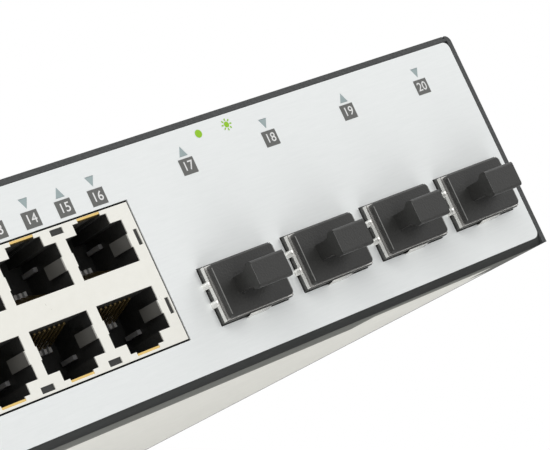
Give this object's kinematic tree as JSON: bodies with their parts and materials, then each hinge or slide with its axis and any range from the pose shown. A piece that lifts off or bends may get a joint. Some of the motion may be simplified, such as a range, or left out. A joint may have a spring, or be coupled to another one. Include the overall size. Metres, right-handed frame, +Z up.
{
  "type": "rackmount network switch",
  "caption": "One-unit rack box with stacked network sockets, optical module cages with pull-out dust plugs, and a mains inlet at the back.",
  "frame": {"origin": "middle of the underside", "axes": "+X along the front face to the right, +Y from the front to the back, +Z up"},
  "size_m": [0.44, 0.2112, 0.044],
  "materials": {
    "galvanised": "galvanised steel sheet, front band powder coated charcoal",
    "charcoal": "textured charcoal powder coat",
    "overlay": "fine horizontal brushed silver",
    "screw": "zinc plated",
    "board": "green solder mask",
    "shield": "bright tin plate",
    "cage": "stamped nickel plated steel",
    "black_plastic": "fine moulded texture",
    "gold": "gold plated",
    "clear": "translucent moulded",
    "chip": "epoxy",
    "aluminium": "extruded",
    "winding": "yellow tape",
    "ferrite": "ferrite",
    "wire": "insulation",
    "led": "diffused"
  },
  "bodies": {
    "chassis": {"ac_leads": "wire", "base_chassis": "galvanised", "board_screws": "screw", "board_standoffs": "screw", "bracket_nuts": "screw", "capacitors": "aluminium", "coils": "ferrite", "cover_screws": "screw", "dc_harness": "wire", "flash_chip": "chip", "front_overlay": "overlay", "ground_screw": "screw", "heatsink": "aluminium", "indicator_board": "board", "indicator_leds": "led", "indicator_pipes": "clear", "indicator_posts": "screw", "inlet_body": "black_plastic", "inlet_pins": "screw", "jack_contacts_a": "gold", "jack_contacts_b": "gold", "jack_housing_a": "black_plastic", "jack_housing_b": "black_plastic", "jack_shield_a": "shield", "jack_shield_b": "shield", "light_pipes": "clear", "main_board": "board", "memory_chips": "chip", "phy_chips": "chip", "power_plugs": "led", "psu_board": "board", "psu_capacitors": "aluminium", "psu_choke": "ferrite", "psu_heatsinks": "aluminium", "reset_switch": "black_plastic", "sfp_cage_1": "cage", "sfp_cage_2": "cage", "sfp_cage_3": "cage", "sfp_cage_4": "cage", "sfp_connectors": "black_plastic", "sfp_gasket_1": "cage", "sfp_gasket_2": "cage", "sfp_gasket_3": "cage", "sfp_gasket_4": "cage", "status_leds": "led", "switch_chip": "chip", "top_cover": "charcoal", "transformer_core": "ferrite", "transformer_winding": "winding"},
    "dust_plug_1": {"dust_plug_1": "black_plastic"},
    "dust_plug_2": {"dust_plug_2": "black_plastic"},
    "dust_plug_3": {"dust_plug_3": "black_plastic"},
    "dust_plug_4": {"dust_plug_4": "black_plastic"},
    "reset_button": {"reset_button": "black_plastic"}
  },
  "joints": [
    {"name": "dust_plug_1_pull", "type": "slide", "parent": "chassis", "child": "dust_plug_1", "axis": [0, -1, 0], "range_m": [0, 0.03]},
    {"name": "dust_plug_2_pull", "type": "slide", "parent": "chassis", "child": "dust_plug_2", "axis": [0, -1, 0], "range_m": [0, 0.03]},
    {"name": "dust_plug_3_pull", "type": "slide", "parent": "chassis", "child": "dust_plug_3", "axis": [0, -1, 0], "range_m": [0, 0.03]},
    {"name": "dust_plug_4_pull", "type": "slide", "parent": "chassis", "child": "dust_plug_4", "axis": [0, -1, 0], "range_m": [0, 0.03]},
    {"name": "reset_press", "type": "slide", "parent": "chassis", "child": "reset_button", "axis": [0, 1, 0], "range_m": [0, 0.0005], "stiffness_N_per_m": 400}
  ]
}
